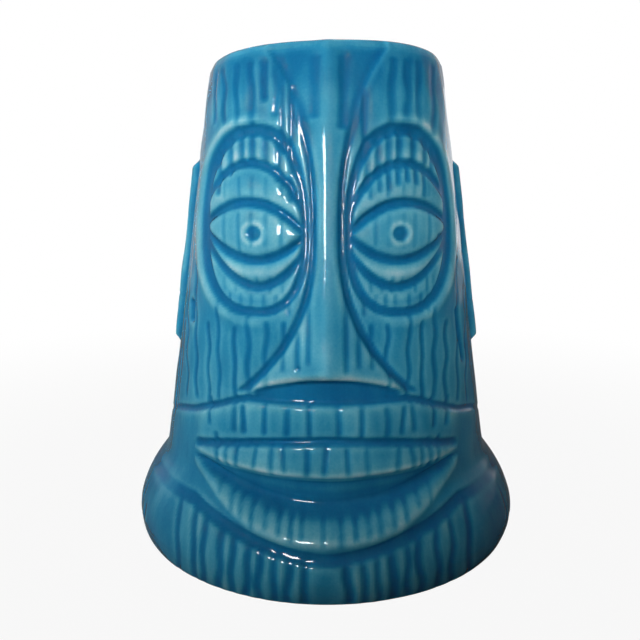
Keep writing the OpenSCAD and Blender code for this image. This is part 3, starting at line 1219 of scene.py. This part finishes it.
@dataclass(frozen=True)
class NodeBench:
    """Node tree of a finish or of the surroundings, with the steps that they share."""

    nodes: bpy.types.Nodes
    links: bpy.types.NodeLinks

    def output(self, kind: str, name: str) -> bpy.types.NodeSocket:
        """Adds a node and returns one of its outputs."""
        return self.nodes.new(kind).outputs[name]

    def noise(self, vector: bpy.types.NodeSocket, scale: float, detail: float) -> bpy.types.NodeSocket:
        """Adds a noise.

        Args:
            vector: Place that it is read at.
            scale: Its scale.
            detail: Its finer layers.

        Returns:
            The noise's value.
        """
        noise = self.nodes.new("ShaderNodeTexNoise")
        noise.inputs["Scale"].default_value = scale
        noise.inputs["Detail"].default_value = detail
        self.links.new(vector, noise.inputs["Vector"])
        return noise.outputs["Fac"]

    def math(self, kind: str, first: bpy.types.NodeSocket,
             second: bpy.types.NodeSocket | float) -> bpy.types.NodeSocket:
        """Adds a sum, product or other step of arithmetic.

        Args:
            kind: Name of the operation.
            first: Its first value.
            second: Its second value, from a socket or as a number.

        Returns:
            The result.
        """
        step = self.nodes.new("ShaderNodeMath")
        step.operation = kind
        self.links.new(first, step.inputs[0])
        if isinstance(second, float):
            step.inputs[1].default_value = second
        else:
            self.links.new(second, step.inputs[1])
        return step.outputs[0]

    def scaled(self, value: bpy.types.NodeSocket, shift: float, gain: float) -> bpy.types.NodeSocket:
        """Adds a shift and then a gain to a value."""
        return self.math("MULTIPLY", self.math("ADD", value, shift), gain)

    def ranged(self, value: bpy.types.NodeSocket, source: tuple[float, float], target: tuple[float, float],
               smooth: bool = False) -> bpy.types.NodeSocket:
        """Adds a change from one range of values to another.

        Args:
            value: The value to change.
            source: Ends of its own range.
            target: Ends of the new range.
            smooth: Eases in and out when true.

        Returns:
            The changed value.
        """
        span = self.nodes.new("ShaderNodeMapRange")
        span.interpolation_type = "SMOOTHSTEP" if smooth else "LINEAR"
        for socket, number in zip(("From Min", "From Max", "To Min", "To Max"), source + target):
            span.inputs[socket].default_value = number
        self.links.new(value, span.inputs["Value"])
        return span.outputs["Result"]

    def bump(self, height: bpy.types.NodeSocket, strength: float, distance: float) -> bpy.types.NodeSocket:
        """Adds a fine bump.

        Args:
            height: Its height.
            strength: Its strength.
            distance: Its depth in metres.

        Returns:
            The bumped normal.
        """
        bump = self.nodes.new("ShaderNodeBump")
        bump.inputs["Strength"].default_value = strength
        bump.inputs["Distance"].default_value = distance
        self.links.new(height, bump.inputs["Height"])
        return bump.outputs["Normal"]

    def mixed(self, share: bpy.types.NodeSocket, first: bpy.types.NodeSocket, second: bpy.types.NodeSocket,
              surface: bpy.types.NodeSocket) -> None:
        """Mixes two shaders into a surface.

        Args:
            share: Share of the second shader.
            first: The first shader.
            second: The second shader.
            surface: Where the mix goes.
        """
        mix = self.nodes.new("ShaderNodeMixShader")
        self.links.new(share, mix.inputs["Fac"])
        self.links.new(first, mix.inputs[1])
        self.links.new(second, mix.inputs[2])
        self.links.new(mix.outputs["Shader"], surface)


def new_finish(name: str) -> tuple[bpy.types.Material, NodeBench]:
    """Makes a plain material.

    Args:
        name: Name of the material.

    Returns:
        The material and the bench for its nodes.
    """
    mat = bpy.data.materials.new(name)
    mat.use_nodes = True
    return mat, NodeBench(mat.node_tree.nodes, mat.node_tree.links)


def put_in_scene(name: str, data: bpy.types.ID) -> bpy.types.Object:
    """Puts a mesh, a lamp or a camera into the scene.

    Args:
        name: Name of the new object.
        data: What it shows.

    Returns:
        The new object.
    """
    piece = bpy.data.objects.new(name, data)
    bpy.context.scene.collection.objects.link(piece)
    return piece


@dataclass(frozen=True)
class GlazeFinish:
    """Translucent turquoise glaze over pale clay."""

    name: str
    clay: tuple[float, ...] = (0.80, 0.74, 0.70)
    soak: tuple[float, ...] = (2.8, 0.92, 0.47)
    gloss: float = 0.10
    gloss_swing: float = 0.08
    mottling: float = 0.34
    fleck: float = 0.24
    cloud_scale: float = 210.0
    cloud_stretch: tuple[float, ...] = (1.0, 1.0, 0.3)
    speck_scale: float = 1500.0
    peel_scale: float = 380.0
    peel: float = 0.10
    peel_depth: float = 0.0004
    levels: tuple[float, ...] = (0.0, 0.3, 0.5, 0.75, 1.0, 1.3, 1.7, 2.1, 2.6, 3.0)
    shine: tuple = (("Specular IOR Level", 0.22), ("Coat Weight", 0.5), ("Coat Roughness", 0.04),
                    ("Coat IOR", 1.45))

    def colour(self, depth: float) -> tuple:
        """Colour of a coat of a given depth over the clay."""
        return tuple(c * math.exp(-s * depth) for c, s in zip(self.clay, self.soak)) + (1.0,)

    def ramp(self, bench: NodeBench, depth: bpy.types.NodeSocket) -> bpy.types.NodeSocket:
        """Adds the colours of thin to deep glaze.

        Args:
            bench: The finish's nodes.
            depth: Depth of the glaze.

        Returns:
            The glaze's colour.
        """
        deepest = self.levels[-1]
        share = bench.math("DIVIDE", depth, deepest)
        ramp = bench.nodes.new("ShaderNodeValToRGB")
        stops = ramp.color_ramp.elements
        for number, level in enumerate(self.levels):
            stop = stops[number] if number < 2 else stops.new(level / deepest)
            stop.position = level / deepest
            stop.color = self.colour(level)
        bench.links.new(share, ramp.inputs["Fac"])
        return ramp.outputs["Color"]

    def material(self) -> bpy.types.Material:
        """Makes the glaze.

        Returns:
            Material whose colour follows the mesh's glaze depths, painted shade included.
        """
        mat, bench = new_finish(self.name)
        nodes, links = bench.nodes, bench.links
        shader = nodes["Principled BSDF"]
        depth = nodes.new("ShaderNodeAttribute")
        depth.attribute_name = GLAZE_DEPTH_AND_SHADE
        place = bench.output("ShaderNodeTexCoord", "Object")
        streaks = nodes.new("ShaderNodeMapping")
        streaks.inputs["Scale"].default_value = self.cloud_stretch
        links.new(place, streaks.inputs["Vector"])
        cloud = bench.noise(streaks.outputs["Vector"], self.cloud_scale, 5.0)
        speck = bench.noise(place, self.speck_scale, 2.0)
        mottle = bench.scaled(cloud, -0.5, self.mottling * 2)
        both = bench.math("ADD", mottle, bench.scaled(speck, -0.5, self.fleck))
        total = bench.math("ADD", depth.outputs["Fac"], both)
        links.new(self.ramp(bench, total), shader.inputs["Base Color"])
        rough = bench.math("ADD", bench.math("MULTIPLY", cloud, self.gloss_swing), self.gloss)
        links.new(rough, shader.inputs["Roughness"])
        normal = bench.bump(bench.noise(place, self.peel_scale, 3.0), self.peel, self.peel_depth)
        links.new(normal, shader.inputs["Normal"])
        links.new(normal, shader.inputs["Coat Normal"])
        for socket, value in self.shine:
            shader.inputs[socket].default_value = value
        return mat


@dataclass(frozen=True)
class ClayFinish:
    """Bare fired earthenware, matt and a little dirty."""

    name: str = "bare_clay"
    pale: tuple[float, ...] = (0.62, 0.52, 0.40, 1.0)
    dark: tuple[float, ...] = (0.40, 0.31, 0.22, 1.0)
    pale_from: float = 0.38
    dark_to: float = 0.12
    stain_scale: float = 60.0
    grit_scale: float = 1800.0
    grit: float = 0.5
    grit_depth: float = 0.0002
    dull: float = 0.68
    dull_swing: float = 0.25

    def material(self) -> bpy.types.Material:
        """Makes the clay.

        Returns:
            Material with grit, stains and a sanded bump.
        """
        mat, bench = new_finish(self.name)
        nodes, links = bench.nodes, bench.links
        shader = nodes["Principled BSDF"]
        place = bench.output("ShaderNodeTexCoord", "Object")
        stain = bench.noise(place, self.stain_scale, 6.0)
        grit = bench.noise(place, self.grit_scale, 3.0)
        blend = bench.math("MULTIPLY", stain, grit)
        ramp = nodes.new("ShaderNodeValToRGB")
        ends = ((self.dark_to, self.dark), (self.pale_from, self.pale))
        for stop, (position, colour) in zip(ramp.color_ramp.elements, ends):
            stop.position, stop.color = position, colour
        links.new(blend, ramp.inputs["Fac"])
        links.new(ramp.outputs["Color"], shader.inputs["Base Color"])
        rough = bench.math("ADD", bench.math("MULTIPLY", grit, self.dull_swing), self.dull)
        links.new(rough, shader.inputs["Roughness"])
        links.new(bench.bump(grit, self.grit, self.grit_depth), shader.inputs["Normal"])
        return mat


def closed_skin(name: str, rings: Array, material: bpy.types.Material, joined: bool,
                values: Array | None = None) -> bpy.types.Object:
    """Makes a solid's surface from rings of points round the mug's axis.

    Args:
        name: Name of the piece.
        rings: Points in mm, rings by columns by 3, the surface lying on the left of the way the rings go.
        material: Its finish.
        joined: True joins the last ring to the first; false closes both ends with a centre point.
        values: Glaze depth at each point of a joined piece, with the outer coat's painted shade, rings by
            columns, if its finish reads it.

    Returns:
        The new object.
    """
    count, columns = rings.shape[:2]
    points = rings.reshape(-1, 3)
    here = np.arange(columns)
    beside = np.roll(here, -1)
    last = count if joined else count - 1
    starts = (np.arange(last) * columns)[:, None]
    nexts = (np.mod(np.arange(last) + 1, count) * columns)[:, None]
    quads = np.stack([starts + here, starts + beside, nexts + beside, nexts + here], axis=-1).reshape(-1, 4)
    faces = [tuple(quad) for quad in quads.tolist()]
    if not joined:
        for ring, flip in ((0, True), (count - 1, False)):
            hub = len(points)
            points = np.concatenate([points, rings[ring].mean(axis=0)[None, :]])
            base = ring * columns
            for one, two in zip(here.tolist(), beside.tolist()):
                faces.append((base + two, base + one, hub) if flip else (base + one, base + two, hub))
    mesh = bpy.data.meshes.new(name)
    mesh.from_pydata((points * MM).tolist(), [], faces)
    mesh.polygons.foreach_set("use_smooth", [True] * len(mesh.polygons))
    if values is not None:
        depths = mesh.attributes.new(GLAZE_DEPTH_AND_SHADE, "FLOAT", "POINT")
        depths.data.foreach_set("value", values.reshape(-1).astype(np.float32))
    mesh.materials.append(material)
    mesh.update()
    return put_in_scene(name, mesh)


def stand_for(piece: bpy.types.Object, node: str) -> None:
    """Lets a piece take a node's place on the mug and logs it.

    Args:
        piece: The new piece.
        node: Name of the node that it stands for.
    """
    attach(piece, "root")
    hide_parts(node)
    LOG.info("%s stands for %s: %d faces", piece.name, node, len(piece.data.polygons))


@dataclass
class OuterGlaze:
    """Coat of glaze over the outside, from the bare foot to the middle of the lip."""

    profile: MugProfile
    carving: Carving
    relief_map: ReliefMap
    finish: GlazeFinish
    bands: tuple = ((0, 73, 0.68), (73, 108, 1.1), (108, 180, 2.5))
    bead_z: tuple = (0.02, 0.12, 0.35)
    bead_tuck: tuple = (0.34, 0.16, 0.04)
    lip_depth: float = 1.02
    foot_depth: float = 0.8
    inside_depth: float = 1.0
    inside_rise: float = 1.5

    def columns(self) -> Array:
        """Angles round the mug, close together on the face and wide apart at the back.

        Returns:
            Angles in radians, from just past -180 degrees to 180.
        """
        half = [0.0]
        for start, stop, step in self.bands:
            count = round((stop - start) / step)
            half += [start + (stop - start) * (i + 1) / count for i in range(count)]
        half = np.radians(half)
        return np.concatenate([-half[1:-1][::-1], half])

    def outside(self) -> Skin:
        """Outside of the coat.

        Returns:
            Its points, from the lower edge up to the middle of the lip.
        """
        p = self.profile
        bead = np.array([p.bare_foot + z for z in self.bead_z])
        rows = np.concatenate([bead, np.linspace(1.7, 50.5, 96), np.linspace(51.05, 120.0, 122),
                               np.linspace(121.0, p.lip_z, 20)])
        tuck = np.concatenate([self.bead_tuck, np.zeros(len(rows) - len(self.bead_tuck))])
        turn = np.linspace(0, 90, 10)[1:]
        roll = np.radians(turn)
        rolled_r = p.rim_d / 2 - p.lip_round + p.lip_round * np.cos(roll)
        r = np.concatenate([p.outside_r(rows) - tuck, rolled_r, [p.lip_middle_r]])
        z = np.concatenate([rows, p.lip_z + p.lip_round * np.sin(roll), [p.mug_h]])
        out_r = np.concatenate([np.ones(len(rows)), np.cos(roll), [0.0]])
        out_z = np.concatenate([np.zeros(len(rows)), np.sin(roll), [1.0]])
        hold = np.concatenate([ease((rows - 0.2) / 2.0), 1 - ease(turn / 90), [0.0]])
        return Skin(p, self.columns(), r, z, out_r, out_z, hold)

    def depths(self, skin: Skin) -> Array:
        """Depth of the glaze on the outside, with the painted shade that it carries.

        Args:
            skin: Points of the outside.

        Returns:
            Depth, rows by columns, thin on the lip and at the lower edge.
        """
        p = self.profile
        depth = self.relief_map.read(self.relief_map.glaze_depth_and_shade(), skin.theta, np.minimum(skin.z, p.lip_z))
        lip = ease((skin.z - p.lip_z + 1.5) / 3.0)[:, None]
        depth = depth * (1 - lip) + (self.lip_depth + 0.3 * (depth - 1.3)) * lip
        edge = bell(skin.z - p.bare_foot, 0.5)[:, None]
        return depth * (1 - edge) + self.foot_depth * edge

    def build(self) -> bpy.types.Object:
        """Makes the coat as a closed shell.

        Returns:
            The new piece.
        """
        p = self.profile
        skin = self.outside()
        outer = skin.place(self.carving.height(skin))
        floor = self.relief_map.lowest_near(self.relief_map.relief, 2, 8)
        rows = np.concatenate([[p.lip_z], np.linspace(134.0, 2.2, 36), [p.bare_foot + 0.1]])
        low = self.relief_map.read(floor, skin.theta, rows)
        inner_skin = Skin(p, skin.theta, p.outside_r(rows) - p.glaze_t, rows, np.ones(len(rows)),
                          np.zeros(len(rows)), ease((rows - 0.2) / 2.0))
        inner = inner_skin.place(np.minimum(low, self.inside_rise))
        cap = around_axis(np.full((1, 1), p.lip_middle_r), skin.theta, p.mug_h - p.glaze_t)
        rings = hand_thrown(np.concatenate([outer, cap, inner]), p)
        inside = np.full((len(rows) + 1, len(skin.theta)), self.inside_depth)
        values = np.concatenate([self.depths(skin), inside])
        return closed_skin("glaze_coat", rings, self.finish.material(), True, values)


@dataclass
class LinerGlaze:
    """Coat of glaze inside the cup, from the middle of the lip to the floor."""

    profile: MugProfile
    relief_map: ReliefMap
    finish: GlazeFinish
    columns: int = 240
    follow: float = 0.25
    follow_reach: float = 6.0
    usual_depth: float = 1.25

    def build(self) -> bpy.types.Object:
        """Makes the liner as a closed shell.

        Returns:
            The new piece.
        """
        theta = np.linspace(-math.pi, math.pi, self.columns, endpoint=False)
        soft = self.relief_map.blurred(self.relief_map.relief, self.follow_reach)
        sheets, depths = [], []
        for grow, turn in ((0.0, 1), (self.profile.glaze_t, -1)):
            r, z = self.profile.hollow_line(grow)
            follow = self.follow * self.relief_map.read(soft, theta, np.clip(z, 8, 134))
            follow = follow * ease((z - 12) / 12)[:, None] * ease((137 - z) / 8)[:, None]
            radius = r[:, None] + follow
            waves = 0.10 * ripple(theta[None, :], z[:, None] * 2, 31, 16, 9)
            floor_wave = np.where(z[:, None] < 14, 0.12 * np.sin(r[:, None] * 0.7), 0.0)
            sheets.append(around_axis(radius, theta, z[:, None] + floor_wave)[::turn])
            deep = 0.45 * ease((22 - z) / 14)[:, None]
            thin = 0.25 * ease((z - 136) / 3)[:, None]
            depths.append((self.usual_depth + 0.9 * waves + deep - thin)[::turn])
        rings = hand_thrown(np.concatenate(sheets), self.profile)
        return closed_skin("liner_coat", rings, self.finish.material(), True, np.concatenate(depths))


@dataclass
class ClayBody:
    """Cast clay under the glaze, bare at the foot."""

    profile: MugProfile
    carving: Carving
    relief_map: ReliefMap
    finish: ClayFinish
    columns: int = 220
    sunk: float = 0.04
    liner_gap: float = 0.05
    crown_inset: float = 0.65
    highest_rise: float = 1.5
    low_rows: tuple = (0.28, 0.6, 0.9, 1.3, 1.8, 2.6, 3.6)

    def underside(self) -> tuple[Array, Array]:
        """Line of the underside from its middle out over the foot ring.

        Returns:
            Radius and height along the line.
        """
        p = self.profile
        foot_r = p.skirt_d / 2 - p.skirt_tuck - p.glaze_t
        ring_r = foot_r - p.foot_ring_w
        line = [(r, p.foot_hollow) for r in (6.0, 16.0, 28.0, 40.0, ring_r - 1.2)]
        line += [(ring_r - 0.4, p.foot_hollow - 0.25), (ring_r - 0.05, 0.8), (ring_r + 0.15, 0.25),
                 (ring_r + 0.7, 0.0), (ring_r + 2.5, 0.0), (foot_r - 2.2, 0.0), (foot_r - 0.9, 0.0)]
        bottom = np.array(line)
        return bottom[:, 0], bottom[:, 1]

    def crown(self) -> tuple[Array, Array]:
        """Line of the clay over the lip.

        Returns:
            Radius and height along the line.
        """
        p = self.profile
        turn = np.radians(90 - np.linspace(8, 0, 4) * 8)
        round_r = p.lip_round - p.glaze_t - self.crown_inset
        return p.rim_d / 2 - p.lip_round + round_r * np.cos(turn), p.lip_z + round_r * np.sin(turn)

    def build(self) -> bpy.types.Object:
        """Makes the clay as one closed solid with a hollow and a foot ring.

        Returns:
            The new piece.
        """
        p = self.profile
        theta = np.linspace(-math.pi, math.pi, self.columns, endpoint=False)
        plain = self.carving.height(self.relief_map.skin, with_ears=False)
        floor = self.relief_map.lowest_near(plain, 4, 8)
        rows = np.concatenate([self.low_rows, np.linspace(5, p.lip_z, 62)])
        low = self.relief_map.read(floor, theta, rows)
        bare = ease((rows - 0.3) / 0.9)[:, None]
        held = np.ones(len(rows))
        wall_r = p.outside_r(rows) - p.glaze_t - self.sunk * bare[:, 0]
        inset = np.where(rows < 0.5, 0.35, 0.0)[:, None]
        wall = Skin(p, theta, wall_r, rows, held, 0 * held, held)
        outer = wall.place(np.minimum(low, self.highest_rise) * bare - inset)
        base, crown, inside = (around_axis(r[:, None], theta, z[:, None]) for r, z in (
            self.underside(), self.crown(), p.hollow_line(p.glaze_t + self.liner_gap)))
        rings = hand_thrown(np.concatenate([base, outer, crown, inside]), p)
        return closed_skin("cast_clay", rings, self.finish.material(), False)


@dataclass
class EarClay:
    """Clay slab of one ear, under the glaze."""

    profile: MugProfile
    ears: Ears
    finish: ClayFinish
    side: int
    edge_inset: float = 0.6
    sunk: float = 0.45
    corners: int = 72
    slab: tuple = ((0.2, 1.5), (0.5, 1.5), (0.8, 1.5), (0.93, 1.35), (0.985, 0.9), (1.0, 0.2),
                   (1.0, -0.4), (0.8, -0.4), (0.4, -0.4), (0.1, -0.4))

    def build(self) -> bpy.types.Object:
        """Makes the slab as a closed solid that follows the wall.

        Returns:
            The new piece.
        """
        p, ears = self.profile, self.ears
        around = np.radians(np.linspace(0, 360, self.corners, endpoint=False))
        half_w = ears.width / 2 - self.edge_inset
        half_h = (ears.top_z - ears.low_z) / 2 - self.edge_inset
        mid_z = (ears.top_z + ears.low_z) / 2
        box = np.maximum(np.abs(np.cos(around)), np.abs(np.sin(around)))
        rings = []
        for share, out in self.slab:
            aside = np.cos(around) / box * half_w * share
            z = mid_z + np.sin(around) / box * half_h * share
            slope = ease((half_h - np.abs(z - mid_z)) / ears.slant) if out > 0 else 1.0
            r = p.outside_r(z) + out * slope - (self.sunk if out > 0 else 0)
            rings.append(np.stack([self.side * np.sqrt(r**2 - aside**2), aside * self.side, z], axis=-1))
        name = "ear_clay_left" if self.side > 0 else "ear_clay_right"
        return closed_skin(name, hand_thrown(np.array(rings), p), self.finish.material(), False)


class Seen(Enum):
    """Which part of a finish a lamp reaches."""

    GLOSSY = "glossy"
    DIFFUSE = "diffuse"


@dataclass(frozen=True)
class Lamp:
    """One soft lamp: its place in degrees and metres, its size, its power and where it aims."""

    name: str
    azimuth: float
    elevation: float
    distance: float
    width: float
    tall: float
    watts: float
    seen: Seen
    spread: float = 180.0
    aim_z: float = 70.0

    def hang(self) -> None:
        """Hangs the lamp and aims it at the mug's axis."""
        aim = Vector((0.0, 0.0, self.aim_z * MM))
        data = bpy.data.lights.new(self.name, "AREA")
        data.shape = "RECTANGLE"
        data.size, data.size_y = self.width, self.tall
        data.energy = self.watts
        data.spread = math.radians(self.spread)
        turn, lift = math.radians(self.azimuth), math.radians(self.elevation)
        away = Vector((math.sin(turn) * math.cos(lift), -math.cos(turn) * math.cos(lift), math.sin(lift)))
        lamp = put_in_scene(self.name, data)
        lamp.location = aim + away * self.distance
        lamp.rotation_euler = (-away).to_track_quat("-Z", "Y").to_euler()
        lamp.visible_camera = False
        lamp.visible_glossy = self.seen is Seen.GLOSSY
        lamp.visible_diffuse = self.seen is Seen.DIFFUSE


@dataclass
class Studio:
    """Pale floor, soft lamps, plain surroundings and the camera."""

    lamps: tuple = (
        Lamp("window_top", -15.0, 23.2, 0.9, 0.16, 0.13, 2.3, Seen.GLOSSY),
        Lamp("window_low", -15.0, 17.3, 0.9, 0.16, 0.03, 0.55, Seen.GLOSSY),
        Lamp("soft_key", -50.0, 20.0, 0.6, 0.3, 0.2, 0.105, Seen.DIFFUSE, 18.0, 120.0),
        Lamp("soft_fill", 16.0, 20.0, 0.6, 0.3, 0.2, 0.118, Seen.DIFFUSE, 17.0, 136.0),
        Lamp("side_key", -74.0, 12.0, 0.9, 0.4, 0.4, 3.0, Seen.DIFFUSE),
        Lamp("cup_light", 180.0, 88.0, 0.6, 0.02, 0.02, 0.02, Seen.DIFFUSE, 5.0, 90.0),
        Lamp("back_key", 205.0, 30.0, 1.0, 0.6, 0.6, 4.0, Seen.DIFFUSE),
        Lamp("back_glow", 160.0, 8.0, 1.3, 1.6, 0.35, 0.9, Seen.GLOSSY),
    )
    room_tint: tuple[float, ...] = (0.93, 0.97, 1.0, 1.0)
    room_low: float = 0.05
    room_high: float = 0.08
    room_back: float = 0.45
    backdrop: float = 1.0
    backdrop_tint: tuple[float, ...] = (1.0, 1.0, 1.0, 1.0)
    seen_share: float = 0.93
    floor_rings: tuple[float, ...] = (0.04, 0.08, 0.12, 0.2, 0.35, 0.6, 1.0, 1.6)
    floor_fade: tuple[float, float] = (0.08, 0.42)
    card: tuple[float, ...] = (0.16, 0.14, 0.12, 1.0)
    sensor_mm: float = 36.0
    lens_mm: float = 34.19
    camera_at: tuple[float, ...] = (-1.78, -196.4, 94.3)
    camera_dip: float = 9.0

    def surroundings(self) -> None:
        """Sets plain pale surroundings, brighter to look at than they light."""
        world = bpy.data.worlds.new("studio")
        bpy.context.scene.world = world
        world.use_nodes = True
        bench = NodeBench(world.node_tree.nodes, world.node_tree.links)
        nodes, links = bench.nodes, bench.links
        room = nodes["Background"]
        room.inputs["Color"].default_value = self.room_tint
        split = nodes.new("ShaderNodeSeparateXYZ")
        links.new(bench.output("ShaderNodeTexCoord", "Generated"), split.inputs[0])
        above = bench.ranged(split.outputs["Z"], (-0.2, 1.0), (self.room_low, self.room_high))
        behind = bench.ranged(split.outputs["Y"], (0.0, 1.0), (0.0, self.room_back))
        links.new(bench.math("ADD", above, behind), room.inputs["Strength"])
        seen = nodes.new("ShaderNodeBackground")
        seen.inputs["Color"].default_value = self.backdrop_tint
        seen.inputs["Strength"].default_value = self.backdrop
        bench.mixed(bench.output("ShaderNodeLightPath", "Is Camera Ray"), room.outputs["Background"],
                    seen.outputs["Background"], nodes["World Output"].inputs["Surface"])

    def floor(self) -> None:
        """Lays a round pale floor that fades into the surroundings far from the mug."""
        around = np.radians(np.arange(0, 360, 5))
        points, faces = [(0.0, 0.0, 0.0)], []
        for ring in self.floor_rings:
            points += [(ring * math.cos(a), ring * math.sin(a), 0.0) for a in around]
        count = len(around)
        for i in range(count):
            faces.append((0, 1 + i, 1 + (i + 1) % count))
            for step in range(len(self.floor_rings) - 1):
                a, b = 1 + step * count, 1 + (step + 1) * count
                faces.append((a + i, b + i, b + (i + 1) % count, a + (i + 1) % count))
        mesh = bpy.data.meshes.new("studio_floor")
        mesh.from_pydata(points, [], faces)
        mesh.materials.append(self.floor_material())
        put_in_scene("studio_floor", mesh)

    def floor_material(self) -> bpy.types.Material:
        """Makes the floor's matt card, which glows softly towards its edge.

        Returns:
            The material.
        """
        mat, bench = new_finish("pale_card")
        nodes, links = bench.nodes, bench.links
        card = nodes["Principled BSDF"]
        for socket, value in (("Base Color", self.card), ("Roughness", 0.9), ("Specular IOR Level", 0.0)):
            card.inputs[socket].default_value = value
        glow = nodes.new("ShaderNodeEmission")
        glow.inputs["Strength"].default_value = self.backdrop
        far = nodes.new("ShaderNodeVectorMath")
        far.operation = "LENGTH"
        links.new(bench.output("ShaderNodeTexCoord", "Object"), far.inputs[0])
        fade = bench.ranged(far.outputs["Value"], self.floor_fade, (self.seen_share, 1.0), smooth=True)
        share = bench.math("MULTIPLY", fade, bench.output("ShaderNodeLightPath", "Is Camera Ray"))
        bench.mixed(share, card.outputs["BSDF"], glow.outputs["Emission"],
                    nodes["Material Output"].inputs["Surface"])
        return mat

    def camera(self) -> None:
        """Sets the camera a little above the mug's middle, looking slightly down at the face."""
        data = bpy.data.cameras.new("view")
        data.sensor_width = self.sensor_mm
        data.lens = self.lens_mm
        data.clip_start = 0.01
        camera = put_in_scene("view", data)
        camera.location = Vector(self.camera_at) * MM
        camera.rotation_euler = (math.radians(90.0 - self.camera_dip), 0.0, 0.0)
        bpy.context.scene.camera = camera

    def build(self) -> None:
        """Sets the whole studio up."""
        self.surroundings()
        self.floor()
        for lamp in self.lamps:
            lamp.hang()
        self.camera()
        bpy.context.scene.view_settings.view_transform = "Standard"


def main() -> None:
    """Builds the mug's pieces in order and reports each."""
    logging.basicConfig(level=logging.INFO, format="%(message)s")
    profile = MugProfile()
    carving = Carving(profile)
    relief_map = ReliefMap(carving)
    coat = GlazeFinish("turquoise_glaze")
    lining = GlazeFinish("turquoise_lining", mottling=0.1)
    clay = ClayFinish()
    stand_for(OuterGlaze(profile, carving, relief_map, coat).build(), "outer_glaze")
    stand_for(LinerGlaze(profile, relief_map, lining).build(), "liner_glaze")
    stand_for(ClayBody(profile, carving, relief_map, clay).build(), "clay_body")
    for side, node in ((1, "left_ear"), (-1, "right_ear")):
        stand_for(EarClay(profile, carving.ears, clay, side).build(), node)
    Studio().build()
    LOG.info("studio ready")


if __name__ == "__main__":
    main()
